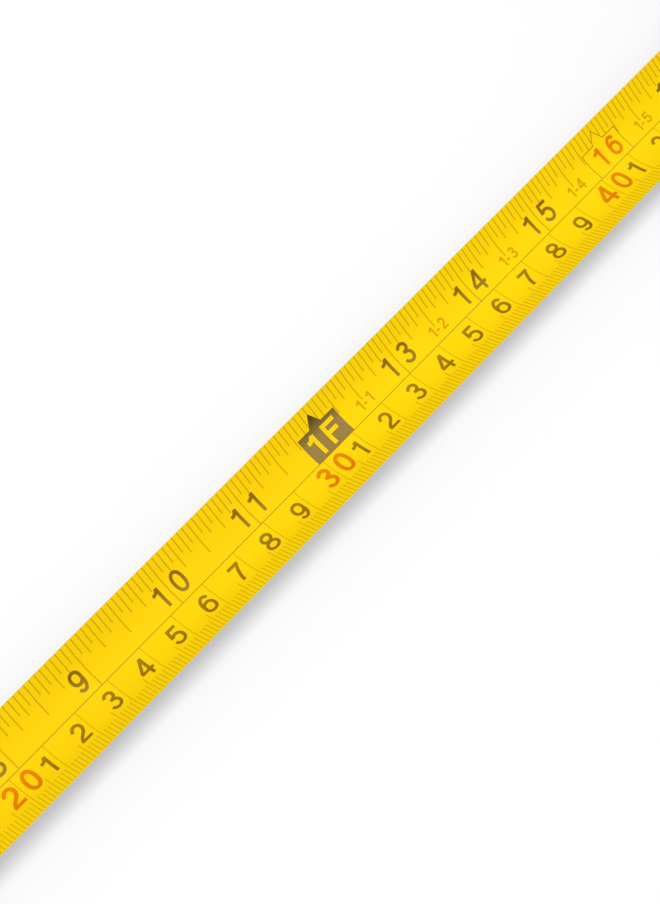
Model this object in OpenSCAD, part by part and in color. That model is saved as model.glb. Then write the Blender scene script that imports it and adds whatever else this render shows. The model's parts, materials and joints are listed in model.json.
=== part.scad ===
// Retractable pocket tape measure with its blade drawn out and locked.
// +X runs along the blade from the hook to the case, +Y is the inch side, +Z is up.
// The origin is on the flat base, under the axis of the reel.

/* [Blade] */
// Width of the blade laid flat
blade_w = 25; // [22:0.5:32]
// Thickness of the blade with its lacquer
blade_t = 0.2; // [0.14:0.02:0.3]
// Radius of the curve across the middle of the blade's upper face
camber_r = 13.2; // [12:0.2:18]
// Width of the curved middle, measured along the face; the borders beyond it are straight
camber_w = 17; // [13:0.5:20]
// Length of blade out of the case, from the case front to the inside of the hook
drawn_l = 460; // [200:10:900]
// Height of the blade's upper face above the base, on its centre line
blade_z = 8.2; // [7.5:0.1:12]
// Length over which the blade flattens before it meets the coil
flatten_l = 20; // [14:1:22]
// Rise of the blade's centre line while it flattens
tail_rise = 2; // [1.5:0.1:3]

/* [Reel] */
// Outer radius of the drum that the blade is wound on
drum_r = 20; // [16:0.5:24]
// Wall of the drum
drum_wall = 1.6; // [1.2:0.1:2.2]
// End plates of the drum and its cover
plate_t = 1.5; // [1:0.1:2.5]
// Loops of blade on the drum
wound_turns = 8; // [4:1:12]
// Distance from one loop of wound blade to the next
wound_pitch = 0.75; // [0.7:0.05:1]
// Radius of the fixed post that the reel turns on
post_r = 5; // [4:0.25:6]
// Thickness of the return spring's strip
spring_t = 0.25; // [0.15:0.05:0.4]
// Loops of the return spring
spring_turns = 8; // [4:1:9]
// Width of the slot that anchors an end of the return spring
anchor_slot_w = 0.8; // [0.7:0.1:1.4]
// Wall of the drum's and the cover's hubs
hub_wall = 2; // [1.5:0.1:2.5]
// Length of a hub inside its end plate
hub_l = 2; // [1:0.25:3]
// Wall of the bosses that hold the post in the case
boss_wall = 2.5; // [1.5:0.1:3.5]

/* [Hook] */
// Thickness of the hook's sheet
hook_t = 0.9; // [0.7:0.05:1.2]
// Width of the hook's leg
hook_w = 19; // [15:0.5:22]
// Width of the tongue that is riveted to the blade
tongue_w = 13; // [12:0.25:15]
// Length of the tongue from the inside of the leg
tongue_l = 12; // [10.5:0.5:15]
// Radius inside the bend between the tongue and the leg
bend_r = 0.3; // [0.1:0.05:0.35]
// Gap between the bottom of the leg and the level of the base
hook_lift = 0.3; // [0.1:0.1:1.5]
// Travel of the hook, equal to the thickness that it makes up for
hook_play = 1; // [0.6:0.1:1.2]
// Radius of a rivet's shank
rivet_r = 1.3; // [1:0.05:1.5]
// Radius of a rivet's heads
rivet_head_r = 2.1; // [1.8:0.05:2.2]
// Height of a rivet's domed head
rivet_head_h = 0.7; // [0.4:0.05:0.8]
// Height of a rivet's flat head under the blade
rivet_tail_h = 0.4; // [0.3:0.05:0.5]
// Distance between the rivets, across the blade
rivet_pitch = 7.2; // [6:0.2:7.6]
// Distance from the inside of the leg to the rivets
rivet_x = 5.5; // [4.5:0.25:6.5]
// Width of the nail notch in the leg
notch_w = 2.6; // [1.6:0.2:4]
// Depth of the nail notch in the leg
notch_h = 3.4; // [2:0.2:4.5]

/* [Lock] */
// Travel of the lock from locked to free
lock_travel = 6; // [4:0.5:7]
// Height of the middle of the thumb button when locked
button_z = 31; // [28:0.5:36]
// Width of the thumb button
button_w = 16; // [12:0.5:20]
// Height of the thumb button
button_h = 20; // [17:0.5:22]
// Thickness of the thumb button's slab
button_t = 1.8; // [1.2:0.1:3]
// Radius of a grip ridge on the thumb button
ridge_r = 1; // [0.6:0.1:1.2]
// Distance between the grip ridges
ridge_pitch = 2.8; // [2.5:0.1:3.2]
// Depth of the track that the thumb button slides in
track_d = 0.6; // [0.3:0.1:1]
// Width of the button's stem through the case front
stem_w = 7; // [5:0.5:9]
// Height of the button's stem
stem_h = 8; // [6:0.5:9]
// Width of the brake shoe
shoe_w = 13; // [11:0.5:15]
// Thickness of the upright part of the brake shoe
shoe_t = 3.6; // [3:0.2:5]
// Thickness of the foot of the brake shoe
foot_t = 2.4; // [1.8:0.1:3]
// Length of the brake pad along the blade
pad_l = 5; // [3:0.5:7]
// Thickness of the detent spring's strip
detent_t = 0.3; // [0.2:0.05:0.4]
// Height of the detent spring
detent_h = 20; // [16:1:24]
// Width of the detent spring
detent_w = 8; // [6:0.5:10]

/* [Case] */
// Wall between the coil and the outside
wall = 3; // [2.4:0.1:5]
// Side walls of the case
side_wall = 3.2; // [2.8:0.1:5]
// Wall between the lock and the front
front_wall = 2.6; // [2:0.1:4]
// Reach of the rounded side edges, along the sides
edge_in = 4; // [2:0.25:4.5]
// Depth of the rounded side edges, across the case
edge_h = 3.2; // [1:0.1:3.2]
// Rounding of the lower front corner
front_low_r = 5; // [4.8:0.1:6]
// Rounding of the upper front corner
front_top_r = 18; // [12:0.5:20]
// Rounding of the upper back corner
back_top_r = 21; // [16:0.5:23]
// Rounding of the lower back corner
back_low_r = 11; // [9:0.5:14]
// Height of the raised foot under each half
base_h = 0.5; // [0.3:0.1:1]
// Thickness of the rubber bumper under the mouth
bumper_t = 2; // [1:0.25:3]
// Width of the rubber bumper
bumper_w = 16; // [10:0.5:20]
// Depth of the pocket that holds the rubber bumper
bumper_seat = 3; // [2:0.25:5]
// Thickness of the steel plate that the blade slides over
wear_t = 0.8; // [0.5:0.1:1.2]
// Length of the steel plate
wear_l = 22; // [14:1:26]
// Thickness of the slip discs beside the coil
liner_t = 0.4; // [0.2:0.1:0.8]
// Radius of a case screw's shank
screw_r = 1.25; // [1:0.05:1.5]
// Radius of a case screw's head
screw_head_r = 2.6; // [2.2:0.1:2.8]
// Height of a screw's head
screw_head_h = 1.6; // [1.2:0.1:1.8]

/* [Grips] */
// Thickness of the rubber on the sides and round their edges
grip_t = 1.2; // [0.6:0.1:2]
// Radius of the bare round face in each side
face_r = 22; // [22:0.5:24]
// Width of the rim round the bare face
rim_w = 1.4; // [0.8:0.1:1.4]
// Height of the rim round the bare face
rim_h = 0.8; // [0.3:0.1:1]
// Distance of the rubber's front end from the reel's axis, at the bottom
grip_front = 31; // [28:0.5:33]
// Lean of the rubber's front end, from the bottom to the top
grip_lean = 10; // [4:0.5:12]
// Height of the lower end of the rubber
grip_low = 9; // [7:0.5:11]
// Width of the ribbed strip over the top and back
band_w = 14; // [10:0.5:18]
// Thickness of the ribbed strip
band_t = 1.6; // [1.2:0.1:2.2]
// Radius of a groove in the rubber
groove_r = 0.8; // [0.4:0.1:0.9]
// Distance between the grooves
groove_pitch = 4; // [3:0.5:8]

/* [Belt clip] */
// Width of the clip
clip_w = 16; // [12:0.5:17]
// Thickness of the clip's sheet
clip_t = 1.2; // [0.8:0.1:1.5]
// Clear gap inside the clip
clip_gap = 4.8; // [4.4:0.1:7]
// Length of the clip's free leg below the reel's axis
clip_drop = 24; // [18:1:26]
// Height of the bend's centre above the reel's axis
clip_rise = 16; // [12:0.5:16.5]
// Radius of the clip's turned-out tip
clip_tip_r = 4; // [2.5:0.5:6]
// Radius of the clip screw's shank
clip_screw_r = 1.5; // [1.2:0.1:2]
// Radius of the clip screw's head
clip_head_r = 3; // [2.5:0.1:3.5]

/* [Fits] */
// Radial clearance of the reel on its post
run_gap = 0.06; // [0.02:0.01:0.1]
// Clearance round pieces that slide
slide_gap = 0.3; // [0.15:0.05:0.4]
// Clearance between the hook's tongue and the blade
tongue_gap = 0.15; // [0.1:0.05:0.3]
// Clearance beside and round the coil
coil_gap = 1.4; // [1:0.1:2]
// Clearance beside the edges of the coil
edge_gap = 0.5; // [0.3:0.1:1]
// Clearance under and over the blade in the mouth
mouth_gap = 0.8; // [0.75:0.05:1.2]

/* [Hidden] */

$fn = 64;
// Overshoot of a cut beyond the face that it opens
cut = 1;
rad = 180 / PI;
quarter = 90;
diagonal = quarter / 2;

// Curve across the blade: u runs along the face, k is 0 where it is curved and 1 where it is flat
border_w = (blade_w - camber_w) / 2;
camber_a = camber_w / 2 / camber_r * rad;
camber_h = camber_r * (1 - cos(camber_a)) + border_w * sin(camber_a);
arc_z = blade_z + camber_r;
flat_share = 0.999;
function bend_at(k) = (1 - min(k, flat_share)) / camber_r;
function arc_part(u) = min(abs(u), camber_w / 2);
function slope_at(u, k) = sign(u) * arc_part(u) * bend_at(k) * rad;
function face_at(u, k) =
    let (c = bend_at(k), a = abs(slope_at(u, k)), rest = abs(u) - arc_part(u))
    [sign(u) * (sin(a) / c + rest * cos(a)), (1 - cos(a)) / c + rest * sin(a)];
function under_at(u, k) = face_at(u, k) + blade_t * [sin(slope_at(u, k)), -cos(slope_at(u, k))];
function ease(f) = f * f * (3 - 2 * f);

// Reel
wrap_gap = 0.15;
coil_in_r = drum_r + wrap_gap;
coil_r = coil_in_r + wound_turns * wound_pitch + blade_t;
axis_z = blade_z + tail_rise + coil_r - blade_t;
chamber_r = coil_r + coil_gap;
chamber_y = blade_w / 2 + edge_gap + liner_t;
half_w = chamber_y + side_wall;
drum_y = blade_w / 2 - slide_gap;
drum_in_r = drum_r - drum_wall;
cover_ledge = 0.6;
hub_r = post_r + hub_wall;
boss_r = post_r + boss_wall;
boss_y = drum_y + slide_gap;
post_seat = side_wall / 2;
loop_steps = 36;
spring_w = 2 * (drum_y - plate_t - hub_l - slide_gap);
spring_room = 0.6;
spring_in_r = hub_r + spring_room;
spring_tail_r = post_r / 3;
spring_out_r = drum_in_r - wrap_gap - 2 * spring_t;
spring_pitch = (spring_out_r - spring_in_r) / spring_turns;

// Hook, from the inside of its leg
tongue_low_r = camber_r - tongue_gap;
tongue_top_r = tongue_low_r - hook_t;
rivet_a = asin(rivet_pitch / 2 / camber_r);
seat_gap = 0.1;
rivet_seat = rivet_head_r * rivet_head_r / tongue_top_r / 2 + seat_gap;
head_low_r = tongue_top_r - rivet_seat;
head_top_r = head_low_r - rivet_head_h;
rivet_rim = rivet_head_h / 3;
dome_h = rivet_head_h - rivet_rim;
dome_r = (rivet_head_r * rivet_head_r + dome_h * dome_h) / 2 / dome_h;
bend_start_r = tongue_low_r + bend_r;
leg_top = arc_z - sqrt(tongue_top_r * tongue_top_r - tongue_w * tongue_w / 4);
leg_corner_r = 2.5;
tongue_corner_r = 3;
end_slack = 0.1;
blade_end_gap = hook_play + end_slack;

// Lock, stacked on the hook's tongue where it passes below
pass_gap = 0.5;
stop_gap = 0.3;
head_edge_z = arc_z - head_top_r * cos(rivet_a) + rivet_head_r * sin(rivet_a);
foot_z = max(leg_top, head_edge_z) + 2 * slide_gap;
foot_top = foot_z + foot_t;
foot_drop = axis_z - foot_top - lock_travel;
foot_back = sqrt(chamber_r * chamber_r - foot_drop * foot_drop);
pad_inset = 0.5;
pad_w = shoe_w - 2 * pad_inset;
front_x = foot_back + pad_l + pass_gap + tongue_l - bumper_t - stop_gap;
zero_x = -front_x - drawn_l;
slot_x = -front_x + front_wall;
shoe_x = slot_x + slide_gap;
detent_room = 1.6;
lock_back = shoe_x + shoe_t + detent_room;
shoe_head = 5;
shoe_top = button_z + stem_h / 2 + shoe_head;
lock_top = shoe_top + lock_travel + slide_gap;
stem_in = shoe_t / 2;
button_corner_r = 3;
ridge_count = 5;

// Case
case_back = chamber_r + wall;
case_top = axis_z + chamber_r + wall;
mouth_y = blade_w / 2 + edge_gap;
wear_z = blade_z - blade_t - mouth_gap;
floor_z = wear_z - wear_t;
mouth_top = blade_z + camber_h + mouth_gap;
channel_back = 3;
lip_h = 0.8;
chin_h = 1.9;
bumper_low = base_h + chin_h;
bumper_top = floor_z - lip_h - slide_gap;
bumper_h = bumper_top - bumper_low;
bumper_corner_r = bumper_h / 3;
corner = [
    [-front_x + front_low_r, base_h + front_low_r, front_low_r],
    [-front_x + front_top_r, case_top - front_top_r, front_top_r],
    [case_back - back_top_r, case_top - back_top_r, back_top_r],
    [case_back - back_low_r, base_h + back_low_r, back_low_r]
];
edge_step = 15;
foot_margin = 1;
foot_sink = 1;
screw_gap = 0.2;
screw_sink = 0.4;
screw_grip = 9;
screw_wall = 0.6;
screw_inset = 5.8;
back_screw_r = chamber_r + screw_r + screw_gap + screw_wall;
function corner_screw(c, a) = [c[0], c[1]] + (c[2] - screw_inset) * [cos(a), sin(a)];
screw_pos = [
    corner_screw(corner[1], quarter + diagonal),
    [0, axis_z] + back_screw_r * [cos(diagonal), sin(diagonal)],
    corner_screw(corner[3], -diagonal)
];
recess_w = 0.8;
recess_share = 0.6;

// Grips
seam_gap = 0.15;
zone_r = 5;
scallop = 0.9;
groove_low = grip_low + groove_pitch;
groove_top = case_top - back_top_r;
groove_a = groove_pitch / (back_top_r + band_t) * rad;

// Belt clip, on the right side
clip_foot = 8;
clip_bend_r = clip_gap / 2;
clip_far = 2 * clip_t + clip_gap;
clip_tip_a = 50;
access_gap = 0.4;
clip_access_r = clip_head_r + access_gap;
clip_corner_r = 4;
clip_screw_l = 9;

// Extrudes a shape drawn in X and Z from y0 to y1
module along_y(y0, y1) {
    translate([0, y1, 0])
        rotate([90, 0, 0])
            linear_extrude(y1 - y0)
                children();
}

// Extrudes a shape drawn in Y and Z from x0 to x1
module along_x(x0, x1) {
    translate([x0, 0, 0])
        rotate([90, 0, 90])
            linear_extrude(x1 - x0)
                children();
}

// Round bar along Y with its axis through x, z
module rod_y(r, y0, y1, x = 0, z = axis_z) {
    translate([x, y1, z])
        rotate([90, 0, 0])
            cylinder(r = r, h = y1 - y0);
}

// Round bar along X with its axis through y, z
module rod_x(r, x0, x1, y = 0, z = arc_z) {
    translate([x0, y, z])
        rotate([0, 90, 0])
            cylinder(r = r, h = x1 - x0);
}

// Box between two corners
module block(low, high) {
    translate(low)
        cube(high - low);
}

// Rectangle w by h round the origin with round corners of radius r
module round_rect(w, h, r) {
    square([w - 2 * r, h], center = true);
    square([w, h - 2 * r], center = true);
    for (x = [-1, 1], y = [-1, 1])
        translate([x * (w / 2 - r), y * (h / 2 - r)])
            circle(r);
}

// Side outline of the case, drawn in by inset
module case_outline(inset) {
    hull()
        for (c = corner)
            translate([c[0], c[1]])
                circle(c[2] - inset);
}

// Points of a strip wound from r_in outwards; face 0 is its inner face and face 1 its outer one
function strip_pt(r_in, pitch, t, start, i, face) =
    let (a = i / loop_steps * 360)
    (r_in + pitch * i / loop_steps + t * face) * [cos(start - a), sin(start - a)];
function strip_outline(r_in, pitch, t, turns, start) =
    let (n = turns * loop_steps)
    concat([for (i = [0 : n]) strip_pt(r_in, pitch, t, start, i, 0)],
           [for (i = [n : -1 : 0]) strip_pt(r_in, pitch, t, start, i, 1)]);
function strip_gap(r_in, pitch, t, turns, start) =
    min([for (i = [0 : (turns - 1) * loop_steps])
        norm(strip_pt(r_in, pitch, t, start, i + loop_steps, 0)
             - strip_pt(r_in, pitch, t, start, i, 1))]);

// Screw along Y: the head's seat is at y = 0 and the shank runs to +Y
module screw(r, l, head_r, head_h) {
    recess_l = head_r * recess_share;
    difference() {
        union() {
            rod_y(r, 0, l, 0, 0);
            rod_y(head_r, -head_h, 0, 0, 0);
        }
        for (turn = [0, 90])
            rotate([0, turn, 0])
                block([-recess_l, -head_h - cut, -recess_w / 2], [recess_l, -head_h / 2, recess_w / 2]);
    }
}

// Outside of the right half, swollen by grow, with its side edge rounded in steps
module case_form(grow) {
    edge_y = half_w - edge_h;
    hull()
        for (c = corner)
            translate([c[0], 0, c[1]])
                rotate([-90, 0, 0]) {
                    cylinder(r = c[2] + grow, h = edge_y);
                    for (a = [0 : edge_step : quarter - edge_step])
                        translate([0, 0, edge_y + (edge_h + grow) * sin(a)])
                            cylinder(r1 = c[2] + grow - (edge_in + grow) * (1 - cos(a)),
                                     r2 = c[2] + grow - (edge_in + grow) * (1 - cos(a + edge_step)),
                                     h = (edge_h + grow) * (sin(a + edge_step) - sin(a)));
                }
}

// Right half of the case as a solid, with the foot below and the rim round its bare face
module case_half() {
    case_form(0);
    block([-front_x + front_low_r + foot_margin, 0, 0],
          [case_back - back_low_r - foot_margin, half_w - edge_in - foot_margin, base_h + foot_sink]);
    difference() {
        rod_y(face_r, half_w - cut, half_w + rim_h);
        rod_y(face_r - rim_w, half_w - 2 * cut, half_w + rim_h + cut);
    }
}

// Rubber bumper from x0 to x1
module bumper_form(x0, x1) {
    translate([0, 0, bumper_low + bumper_h / 2])
        along_x(x0, x1)
            round_rect(bumper_w, bumper_h, bumper_corner_r);
}

// Hollow that the two halves share: coil chamber, blade channel, lock slots and bumper pocket
module case_hollow() {
    shoe_y = shoe_w / 2 + slide_gap;
    difference() {
        rod_y(chamber_r, -chamber_y, chamber_y);
        for (side = [-1, 1])
            rod_y(boss_r, side > 0 ? boss_y : -chamber_y - cut, side > 0 ? chamber_y + cut : -boss_y);
    }
    rod_y(post_r, -chamber_y - post_seat, chamber_y + post_seat);
    block([-front_x - cut, -mouth_y, floor_z], [channel_back, mouth_y, mouth_top]);
    block([slot_x, -shoe_y, mouth_top - cut],
          [-foot_back + pass_gap, shoe_y, foot_top + lock_travel + slide_gap]);
    block([slot_x, -shoe_y, mouth_top - cut], [lock_back, shoe_y, lock_top]);
    block([-front_x - cut, -stem_w / 2 - slide_gap, button_z - stem_h / 2 - slide_gap],
          [slot_x + cut, stem_w / 2 + slide_gap, button_z + stem_h / 2 + lock_travel + slide_gap]);
    translate([0, 0, button_z + lock_travel / 2])
        along_x(-front_x - cut, -front_x + track_d)
            round_rect(button_w + 2 * slide_gap, button_h + lock_travel + 2 * slide_gap,
                       button_corner_r + slide_gap);
    bumper_form(-front_x - cut, -front_x + bumper_seat);
}

module case_left() {
    head_y = -half_w + screw_head_h + screw_sink;
    color("#7b7e82")
        difference() {
            mirror([0, 1, 0])
                case_half();
            case_hollow();
            for (p = screw_pos) {
                rod_y(screw_r + screw_gap, -half_w - cut, cut, p[0], p[1]);
                rod_y(screw_head_r + screw_gap, -half_w - cut, head_y, p[0], p[1]);
            }
        }
}

module case_right() {
    color("#7b7e82")
        difference() {
            case_half();
            case_hollow();
            for (p = screw_pos)
                rod_y(screw_r, -cut, screw_grip, p[0], p[1]);
            rod_y(clip_screw_r + screw_gap, chamber_y, half_w + cut);
        }
}

// Part of the side view that is covered with rubber: behind a leaning front end, round the bare face
module grip_zone() {
    difference() {
        hull() {
            translate([-grip_front + zone_r, grip_low + zone_r])
                circle(zone_r);
            translate([-grip_front + grip_lean, case_top + grip_low])
                square([case_back + grip_front, grip_low]);
            translate([case_back, grip_low])
                square([zone_r, case_top]);
        }
        translate([0, axis_z])
            circle(face_r + slide_gap);
    }
}

// Rubber over the right side and its rounded edge, up to the ribbed strip
module grip_skin() {
    difference() {
        intersection() {
            case_form(grip_t);
            along_y(band_w / 2 + seam_gap, half_w + grip_t + cut)
                grip_zone();
        }
        case_form(0);
    }
}

module grip_left() {
    color("#16171a")
        difference() {
            mirror([0, 1, 0])
                grip_skin();
            for (p = screw_pos)
                rod_y(screw_head_r + scallop, -half_w - grip_t - cut, -half_w + edge_h, p[0], p[1]);
        }
}

module grip_right() {
    color("#16171a")
        grip_skin();
}

// Ribbed strip over the top and back, grooved where the hand holds it
module grip_band() {
    band_y = band_w / 2 + cut;
    color("#16171a")
        difference() {
            along_y(-band_w / 2, band_w / 2)
                intersection() {
                    difference() {
                        case_outline(-band_t);
                        case_outline(0);
                    }
                    grip_zone();
                }
            for (z = [groove_top : -groove_pitch : groove_low])
                rod_y(groove_r, -band_y, band_y, case_back + band_t, z);
            for (a = [groove_a : groove_a : quarter])
                rod_y(groove_r, -band_y, band_y, corner[2][0] + (back_top_r + band_t) * cos(a),
                      corner[2][1] + (back_top_r + band_t) * sin(a));
        }
}

module case_screws() {
    head_y = -half_w + screw_head_h + screw_sink;
    color("#8e9094")
        for (p = screw_pos)
            translate([p[0], head_y, p[1]])
                screw(screw_r, screw_grip - head_y - slide_gap, screw_head_r, screw_head_h);
}

// Steel plate on the floor of the mouth, turned down over the front
module wear_plate() {
    color("#c2c4c6")
        along_y(-mouth_y + slide_gap, mouth_y - slide_gap)
            union() {
                translate([-front_x - wear_t, floor_z])
                    square([wear_l + wear_t, wear_t]);
                translate([-front_x - wear_t, floor_z - lip_h])
                    square([wear_t, lip_h + wear_t]);
            }
}

module hook_bumper() {
    color("#1c1d20")
        bumper_form(-front_x - bumper_t, -front_x + bumper_seat);
}

// Side profile of the belt clip: plate on the case, round bend, free leg and turned-out tip
module clip_profile() {
    translate([0, -clip_foot])
        square([clip_t, clip_rise + clip_foot]);
    translate([clip_t + clip_bend_r, clip_rise])
        intersection() {
            difference() {
                circle(clip_bend_r + clip_t);
                circle(clip_bend_r);
            }
            translate([-clip_far, 0])
                square([2 * clip_far, clip_far]);
        }
    translate([clip_t + clip_gap, -clip_drop])
        square([clip_t, clip_rise + clip_drop]);
    translate([clip_far + clip_tip_r, -clip_drop])
        intersection() {
            difference() {
                circle(clip_tip_r + clip_t);
                circle(clip_tip_r);
            }
            polygon([[0, 0], [-2 * clip_far, 0], [-2 * clip_far, -2 * clip_far * tan(clip_tip_a)]]);
        }
}

module belt_clip() {
    tip_drop = clip_drop + (clip_tip_r + clip_t) * sin(clip_tip_a);
    clip_h = tip_drop + clip_rise + clip_bend_r + clip_t;
    color("#aeb1b5")
        difference() {
            intersection() {
                translate([0, half_w, axis_z])
                    along_x(-clip_w / 2, clip_w / 2)
                        clip_profile();
                along_y(half_w - cut, half_w + 2 * clip_far + clip_tip_r)
                    translate([0, axis_z - tip_drop + clip_h / 2])
                        round_rect(clip_w, clip_h, clip_corner_r);
            }
            rod_y(clip_screw_r + screw_gap, half_w - cut, half_w + clip_t + cut);
            rod_y(clip_access_r, half_w + clip_t + cut, half_w + clip_far + cut);
        }
}

module belt_clip_screw() {
    seat_y = half_w + clip_t;
    shank_l = seat_y - chamber_y - post_seat + clip_screw_l;
    color("#8e9094")
        translate([0, seat_y, axis_z])
            rotate([0, 0, 180])
                screw(clip_screw_r, shank_l, clip_head_r, screw_head_h);
}

// Fixed post with the slot for the spring's inner end and the thread hole of the clip screw
module centre_post() {
    post_y = chamber_y + post_seat;
    color("#d8d2c4")
        difference() {
            rod_y(post_r, -post_y, post_y);
            block([-anchor_slot_w / 2, -spring_w / 2 - slide_gap, axis_z],
                  [anchor_slot_w / 2, spring_w / 2 + slide_gap, axis_z + post_r + cut]);
            rod_y(clip_screw_r, post_y - clip_screw_l - slide_gap, post_y + cut);
        }
}

// Thin slip disc between the coil and a side wall
module liner(side) {
    y0 = side > 0 ? chamber_y - liner_t : -chamber_y;
    color("#e9e6dc")
        difference() {
            rod_y(chamber_r - slide_gap, y0, y0 + liner_t);
            rod_y(boss_r + slide_gap, y0 - cut, y0 + liner_t + cut);
        }
}

module liner_left() {
    liner(-1);
}

module liner_right() {
    liner(1);
}

// Spring drum: a cup with a hub, closed by the cover on the right
module reel_drum() {
    color("#e4e0d4")
        difference() {
            rod_y(drum_r, -drum_y, drum_y);
            difference() {
                rod_y(drum_in_r, -drum_y + plate_t, drum_y + cut);
                rod_y(hub_r, -drum_y, -drum_y + plate_t + hub_l);
            }
            rod_y(drum_in_r + cover_ledge, drum_y - plate_t, drum_y + cut);
            rod_y(post_r + run_gap, -drum_y - cut, drum_y + cut);
            block([-anchor_slot_w / 2, -spring_w / 2 - slide_gap, axis_z + drum_in_r - cut],
                  [anchor_slot_w / 2, spring_w / 2 + slide_gap, axis_z + drum_r + cut]);
        }
}

module reel_cover() {
    color("#d6d2c6")
        difference() {
            union() {
                rod_y(drum_in_r + cover_ledge - run_gap, drum_y - plate_t, drum_y);
                rod_y(hub_r, drum_y - plate_t - hub_l, drum_y);
            }
            rod_y(post_r + run_gap, drum_y - plate_t - hub_l - cut, drum_y + cut);
        }
}

// Spiral return spring with a straight tail in the post and one in the drum wall
module mainspring() {
    color("#7d8087")
        translate([0, 0, axis_z])
            along_y(-spring_w / 2, spring_w / 2)
                union() {
                    polygon(strip_outline(spring_in_r, spring_pitch, spring_t, spring_turns, 90));
                    translate([-spring_t / 2, spring_tail_r])
                        square([spring_t, spring_in_r + spring_t / 2 - spring_tail_r]);
                    translate([-spring_t / 2, spring_out_r])
                        square([spring_t, drum_r - spring_out_r - wrap_gap]);
                }
}

// Blade on the drum, as one unbroken strip that ends where the drawn-out blade begins
module wound_blade() {
    color("#f2c400")
        translate([0, 0, axis_z])
            along_y(-blade_w / 2, blade_w / 2)
                polygon(strip_outline(coil_in_r, wound_pitch, blade_t, wound_turns, -90));
}

// Drawn-out blade: curved across its width up to the case, then flattening on to the coil
blade_x0 = zero_x + blade_end_gap;
tail_steps = 10;
across = 24;
blade_rings = concat(
    [[blade_x0, 0]],
    [for (i = [0 : tail_steps]) [-flatten_l + i / tail_steps * (flatten_l - slide_gap), i / tail_steps]]);
ring_n = 2 * (across + 1);
function across_at(i) = blade_w * (i / across - 1 / 2);
function ring_at(x, f) =
    let (k = ease(f), z = blade_z + tail_rise * k)
    concat([for (i = [0 : across]) let (q = face_at(across_at(i), k)) [x, q[0], q[1] + z]],
           [for (i = [across : -1 : 0]) let (q = under_at(across_at(i), k)) [x, q[0], q[1] + z]]);

module blade_sheet() {
    last = len(blade_rings) - 1;
    points = [for (ring = blade_rings) each ring_at(ring[0], ring[1])];
    sides = [for (j = [0 : last - 1], i = [0 : ring_n - 1])
        let (a = j * ring_n + i, b = j * ring_n + (i + 1) % ring_n)
        each [[a, b, a + ring_n], [b, b + ring_n, a + ring_n]]];
    caps = [for (i = [0 : across - 1])
        each [[i, ring_n - 2 - i, i + 1], [i, ring_n - 1 - i, ring_n - 2 - i],
              [last * ring_n + i, last * ring_n + i + 1, last * ring_n + ring_n - 2 - i],
              [last * ring_n + i, last * ring_n + ring_n - 2 - i, last * ring_n + ring_n - 1 - i]]];
    polyhedron(points, concat(sides, caps));
}

// Places its children on a rivet's axis, square to the blade, with the camber's centre at the origin
module at_rivets() {
    for (side = [-1, 1])
        translate([zero_x + rivet_x, 0, arc_z])
            rotate([side * rivet_a, 0, 0])
                children();
}

module blade() {
    color("#f2c400")
        difference() {
            blade_sheet();
            at_rivets()
                translate([0, 0, -camber_r - cut])
                    cylinder(r = rivet_r, h = 2 * cut);
        }
}

module hook_rivets() {
    under_r = camber_r + blade_t;
    color("#c9b27a")
        at_rivets() {
            translate([0, 0, -under_r - rivet_tail_h])
                cylinder(r = rivet_head_r, h = rivet_tail_h);
            translate([0, 0, -under_r - rivet_tail_h])
                cylinder(r = rivet_r, h = under_r + rivet_tail_h - head_low_r + rivet_head_h / 2);
            translate([0, 0, -head_low_r])
                intersection() {
                    cylinder(r = rivet_head_r, h = rivet_head_h);
                    translate([0, 0, rivet_head_h - dome_r])
                        sphere(dome_r);
                }
        }
}

// Section of the hook from its tongue round the bend to its leg: radius along x, length along y
module hook_section() {
    outer_r = bend_r + hook_t;
    translate([tongue_top_r, bend_r])
        square([hook_t, tongue_l - bend_r]);
    translate([bend_start_r, bend_r])
        intersection() {
            difference() {
                circle(outer_r);
                circle(bend_r);
            }
            translate([-outer_r, -outer_r])
                square(outer_r);
        }
    translate([bend_start_r, -hook_t])
        square(hook_t);
}

// Hook: curved tongue on the blade, rounded bend, flat leg across the blade's end, nail notch below
module end_hook() {
    leg_h = leg_top - hook_lift;
    plan_l = tongue_l + hook_t + tongue_corner_r;
    color("#c4c6c8")
        difference() {
            union() {
                intersection() {
                    translate([zero_x, 0, arc_z])
                        rotate([0, 90, 0])
                            rotate_extrude()
                                hook_section();
                    translate([zero_x + tongue_l - plan_l / 2, 0, 0])
                        linear_extrude(arc_z)
                            round_rect(plan_l, tongue_w, tongue_corner_r);
                }
                difference() {
                    translate([0, 0, hook_lift + leg_h / 2])
                        along_x(zero_x - hook_t, zero_x)
                            round_rect(hook_w, leg_h, leg_corner_r);
                    rod_x(bend_start_r, zero_x - hook_t - cut, zero_x + cut);
                }
            }
            at_rivets()
                translate([0, 0, -camber_r]) {
                    for (x = [slide_gap / 2, -hook_play - slide_gap / 2])
                        translate([x, 0, 0])
                            cylinder(r = rivet_r + tongue_gap, h = camber_r - head_low_r + cut);
                    block([-hook_play - slide_gap / 2, -rivet_r - tongue_gap, 0],
                          [slide_gap / 2, rivet_r + tongue_gap, camber_r - head_low_r + cut]);
                }
            along_x(zero_x - hook_t - cut, zero_x + cut)
                translate([0, hook_lift]) {
                    translate([-notch_w / 2, -cut])
                        square([notch_w, notch_h - notch_w / 2 + cut]);
                    translate([0, notch_h - notch_w / 2])
                        circle(notch_w / 2);
                }
        }
}

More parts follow.
